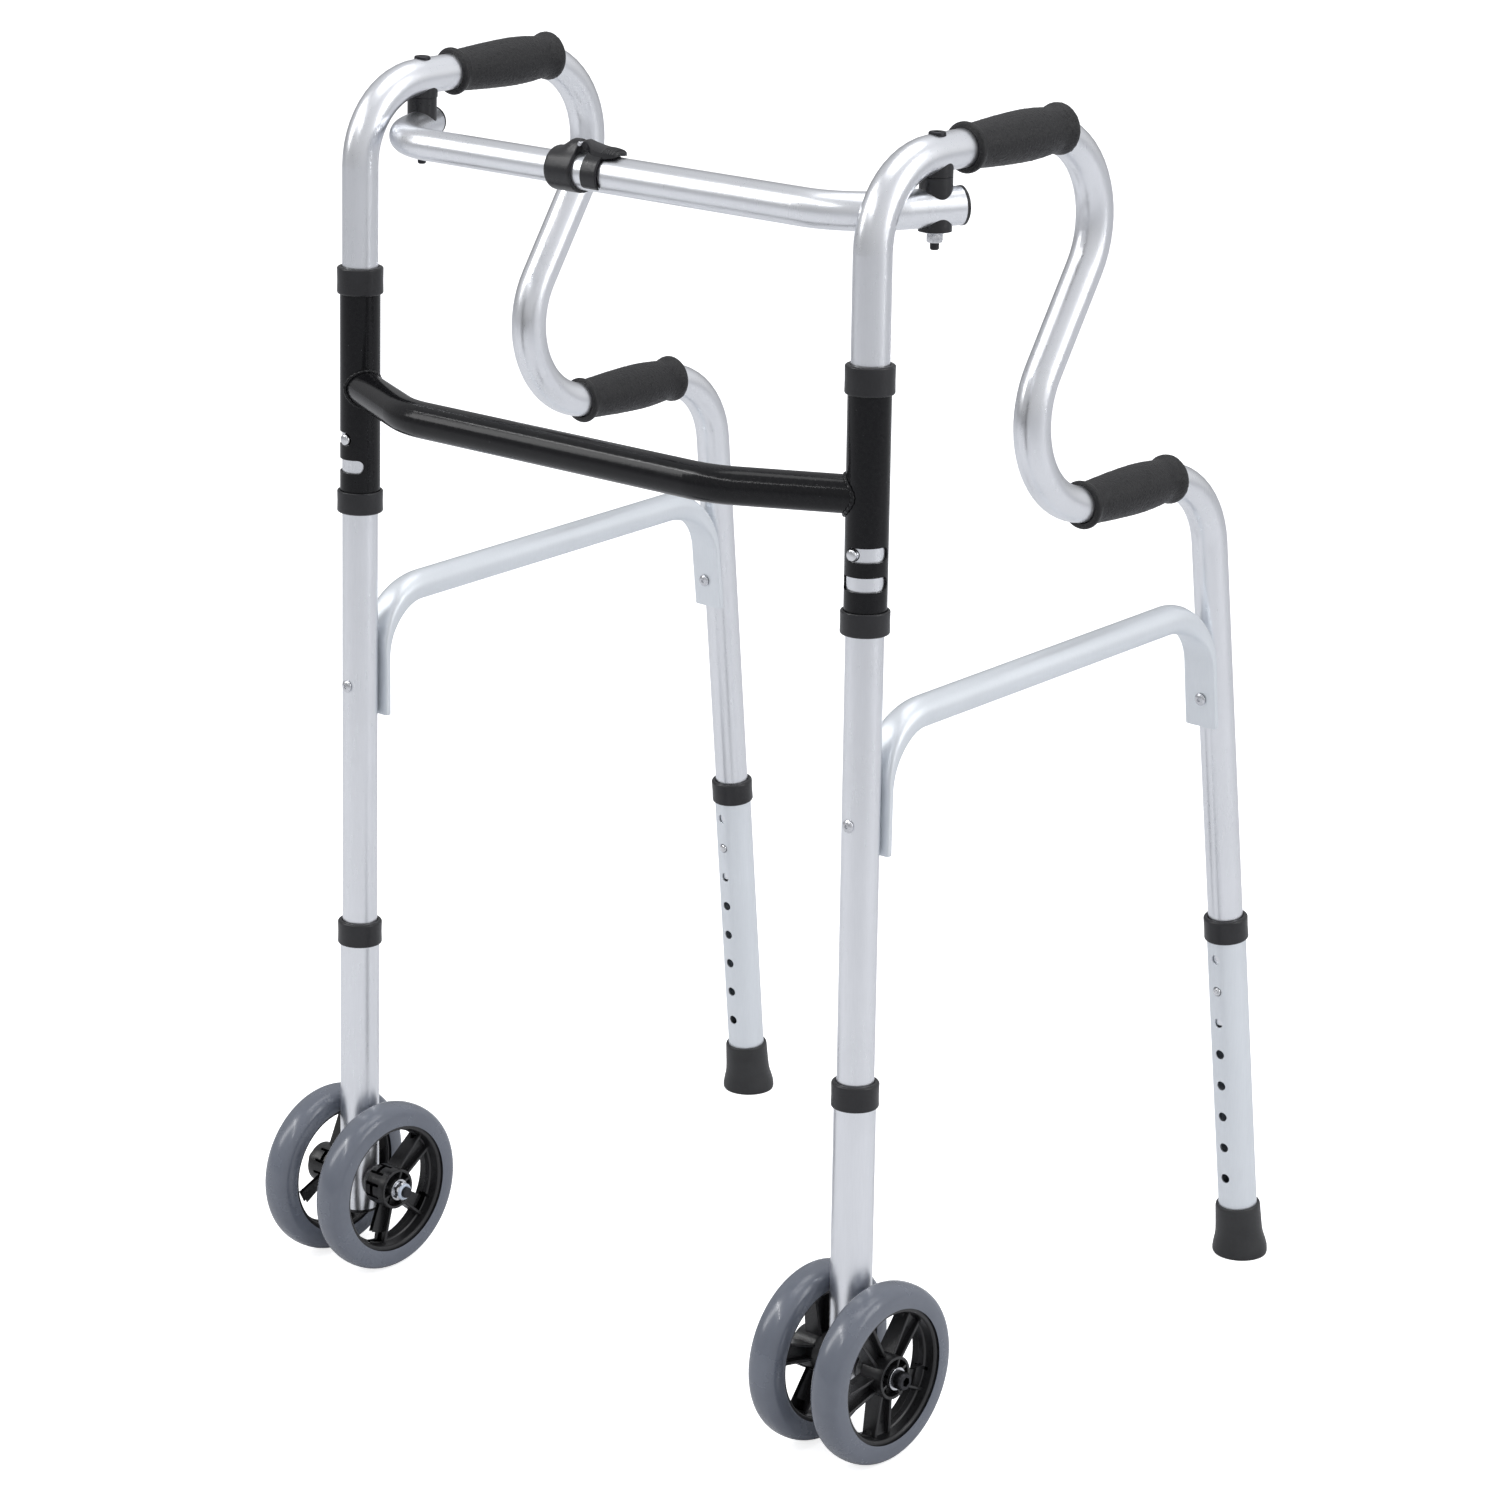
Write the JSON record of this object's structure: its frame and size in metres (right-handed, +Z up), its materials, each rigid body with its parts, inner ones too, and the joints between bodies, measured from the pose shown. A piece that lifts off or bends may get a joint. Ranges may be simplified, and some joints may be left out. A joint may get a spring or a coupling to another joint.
{
  "type": "walking frame",
  "caption": "Folding walking frame: bent aluminium sides with stepped upper and lower hand grips, black front hinge frame, telescoping top bar, twin front wheels and rubber rear feet.",
  "frame": {"origin": "on the floor, at the middle of the footprint box", "axes": "+Z up, +Y towards the open rear where the user stands, -Y the front, +X the user's left"},
  "size_m": [0.581, 0.5271, 0.8922],
  "materials": {
    "satin_aluminium": "satin anodised, fine drawn grain",
    "pale_aluminium": "matte anodised",
    "gloss_black_paint": "gloss black powder coat",
    "dark_plastic": "satin moulded plastic",
    "grip_rubber": "stippled soft vinyl",
    "tip_rubber": "matte rubber",
    "tyre_rubber": "smooth grey polyurethane",
    "rim_plastic": "satin black nylon",
    "zinc_steel": "zinc plated",
    "black_steel": "black oxide",
    "spring_steel": "plain spring steel",
    "button_steel": "polished plated steel"
  },
  "bodies": {
    "front_frame": {"lower_crossbar": "gloss_black_paint", "left_hinge_sleeve": "gloss_black_paint", "right_hinge_sleeve": "gloss_black_paint", "left_sleeve_collars": "dark_plastic", "right_sleeve_collars": "dark_plastic"},
    "left_side": {"left_side_tube": "satin_aluminium", "left_brace": "pale_aluminium", "left_brace_rivets": "zinc_steel", "left_upper_grip": "grip_rubber", "left_lower_grip": "grip_rubber", "left_pivot_fasteners": "zinc_steel", "left_pivot_seat": "dark_plastic", "left_button_springs": "spring_steel"},
    "left_fold_button": {"left_fold_button": "button_steel"},
    "left_front_height_button": {"left_front_height_button": "button_steel"},
    "left_rear_height_button": {"left_rear_height_button": "button_steel"},
    "left_front_leg": {"left_front_extension": "satin_aluminium", "left_front_collar": "dark_plastic", "left_front_end_plug": "dark_plastic", "left_axle_bolt": "black_steel", "left_axle_nut_and_washers": "zinc_steel"},
    "left_outer_wheel": {"left_outer_wheel_rim": "rim_plastic", "left_outer_wheel_tyre": "tyre_rubber"},
    "left_inner_wheel": {"left_inner_wheel_rim": "rim_plastic", "left_inner_wheel_tyre": "tyre_rubber"},
    "left_rear_leg": {"left_rear_extension": "pale_aluminium", "left_rear_collar": "dark_plastic", "left_rear_tip": "tip_rubber"},
    "right_side": {"right_side_tube": "satin_aluminium", "right_brace": "pale_aluminium", "right_brace_rivets": "zinc_steel", "right_upper_grip": "grip_rubber", "right_lower_grip": "grip_rubber", "right_pivot_fasteners": "zinc_steel", "right_pivot_seat": "dark_plastic", "right_button_springs": "spring_steel"},
    "right_fold_button": {"right_fold_button": "button_steel"},
    "right_front_height_button": {"right_front_height_button": "button_steel"},
    "right_rear_height_button": {"right_rear_height_button": "button_steel"},
    "right_front_leg": {"right_front_extension": "satin_aluminium", "right_front_collar": "dark_plastic", "right_front_end_plug": "dark_plastic", "right_axle_bolt": "black_steel", "right_axle_nut_and_washers": "zinc_steel"},
    "right_outer_wheel": {"right_outer_wheel_rim": "rim_plastic", "right_outer_wheel_tyre": "tyre_rubber"},
    "right_inner_wheel": {"right_inner_wheel_rim": "rim_plastic", "right_inner_wheel_tyre": "tyre_rubber"},
    "right_rear_leg": {"right_rear_extension": "pale_aluminium", "right_rear_collar": "dark_plastic", "right_rear_tip": "tip_rubber"},
    "bar_left_half": {"left_bar_outer_tube": "satin_aluminium", "left_bar_saddles": "dark_plastic", "left_bar_end_cap": "dark_plastic", "clip_collar": "dark_plastic"},
    "bar_right_half": {"right_bar_inner_tube": "satin_aluminium", "right_bar_saddles": "dark_plastic", "right_bar_end_cap": "dark_plastic"},
    "clip_lever": {"clip_lever": "dark_plastic"}
  },
  "joints": [
    {"name": "left_side_fold", "type": "hinge", "parent": "front_frame", "child": "left_side", "pos_m": [0.23539, -0.18263, 0.66], "axis": [-0.0082, 0.0292, 0.9995], "range_deg": [0, 26]},
    {"name": "left_front_height", "type": "slide", "parent": "left_side", "child": "left_front_leg", "axis": [-0.0082, 0.0292, 0.9995], "range_m": [-0.0254, 0.127]},
    {"name": "left_rear_height", "type": "slide", "parent": "left_side", "child": "left_rear_leg", "axis": [-0.0186, -0.095, 0.9953], "range_m": [-0.0254, 0.127]},
    {"name": "left_outer_wheel_spin", "type": "hinge", "parent": "left_front_leg", "child": "left_outer_wheel", "pos_m": [0.26808, -0.20005, 0.0635], "axis": [1, 0, 0], "continuous": true},
    {"name": "left_inner_wheel_spin", "type": "hinge", "parent": "left_front_leg", "child": "left_inner_wheel", "pos_m": [0.21248, -0.20005, 0.0635], "axis": [1, 0, 0], "continuous": true},
    {"name": "left_fold_button_press", "type": "slide", "parent": "left_side", "child": "left_fold_button", "axis": [0, 1, 0], "range_m": [0, 0.0036], "stiffness_N_per_m": 1500, "springref_m": -0.002, "deforming": ["left_button_springs"]},
    {"name": "left_front_height_button_press", "type": "slide", "parent": "left_side", "child": "left_front_height_button", "axis": [0, -1, 0], "range_m": [0, 0.003], "stiffness_N_per_m": 1500, "springref_m": -0.002},
    {"name": "left_rear_height_button_press", "type": "slide", "parent": "left_side", "child": "left_rear_height_button", "axis": [0, 1, 0], "range_m": [0, 0.003], "stiffness_N_per_m": 1500, "springref_m": -0.002},
    {"name": "right_side_fold", "type": "hinge", "parent": "front_frame", "child": "right_side", "pos_m": [-0.23539, -0.18263, 0.66], "axis": [0.0082, 0.0292, 0.9995], "range_deg": [-26, 0]},
    {"name": "right_front_height", "type": "slide", "parent": "right_side", "child": "right_front_leg", "axis": [0.0082, 0.0292, 0.9995], "range_m": [-0.0254, 0.127]},
    {"name": "right_rear_height", "type": "slide", "parent": "right_side", "child": "right_rear_leg", "axis": [0.0186, -0.095, 0.9953], "range_m": [-0.0254, 0.127]},
    {"name": "right_outer_wheel_spin", "type": "hinge", "parent": "right_front_leg", "child": "right_outer_wheel", "pos_m": [-0.26808, -0.20005, 0.0635], "axis": [1, 0, 0], "continuous": true},
    {"name": "right_inner_wheel_spin", "type": "hinge", "parent": "right_front_leg", "child": "right_inner_wheel", "pos_m": [-0.21248, -0.20005, 0.0635], "axis": [1, 0, 0], "continuous": true},
    {"name": "right_fold_button_press", "type": "slide", "parent": "right_side", "child": "right_fold_button", "axis": [0, 1, 0], "range_m": [0, 0.0036], "stiffness_N_per_m": 1500, "springref_m": -0.002, "deforming": ["right_button_springs"]},
    {"name": "right_front_height_button_press", "type": "slide", "parent": "right_side", "child": "right_front_height_button", "axis": [0, -1, 0], "range_m": [0, 0.003], "stiffness_N_per_m": 1500, "springref_m": -0.002},
    {"name": "right_rear_height_button_press", "type": "slide", "parent": "right_side", "child": "right_rear_height_button", "axis": [0, 1, 0], "range_m": [0, 0.003], "stiffness_N_per_m": 1500, "springref_m": -0.002},
    {"name": "left_bar_pivot", "type": "hinge", "parent": "left_side", "child": "bar_left_half", "pos_m": [0.2343, -0.116, 0.8745], "axis": [-0.0082, 0.0292, 0.9995], "range_deg": [-26, 0]},
    {"name": "right_bar_pivot", "type": "hinge", "parent": "right_side", "child": "bar_right_half", "pos_m": [-0.2343, -0.116, 0.8745], "axis": [0.0082, 0.0292, 0.9995], "range_deg": [0, 26]},
    {"name": "clip_lever_lift", "type": "hinge", "parent": "bar_left_half", "child": "clip_lever", "pos_m": [-0.0215, -0.172, 0.859], "axis": [0, -1, 0], "range_deg": [0, 60]}
  ],
  "couplings": [
    {"joint": "right_side_fold", "follows": "left_side_fold", "ratio": -1},
    {"joint": "left_bar_pivot", "follows": "left_side_fold", "ratio": -1},
    {"joint": "right_bar_pivot", "follows": "left_side_fold", "ratio": 1}
  ]
}
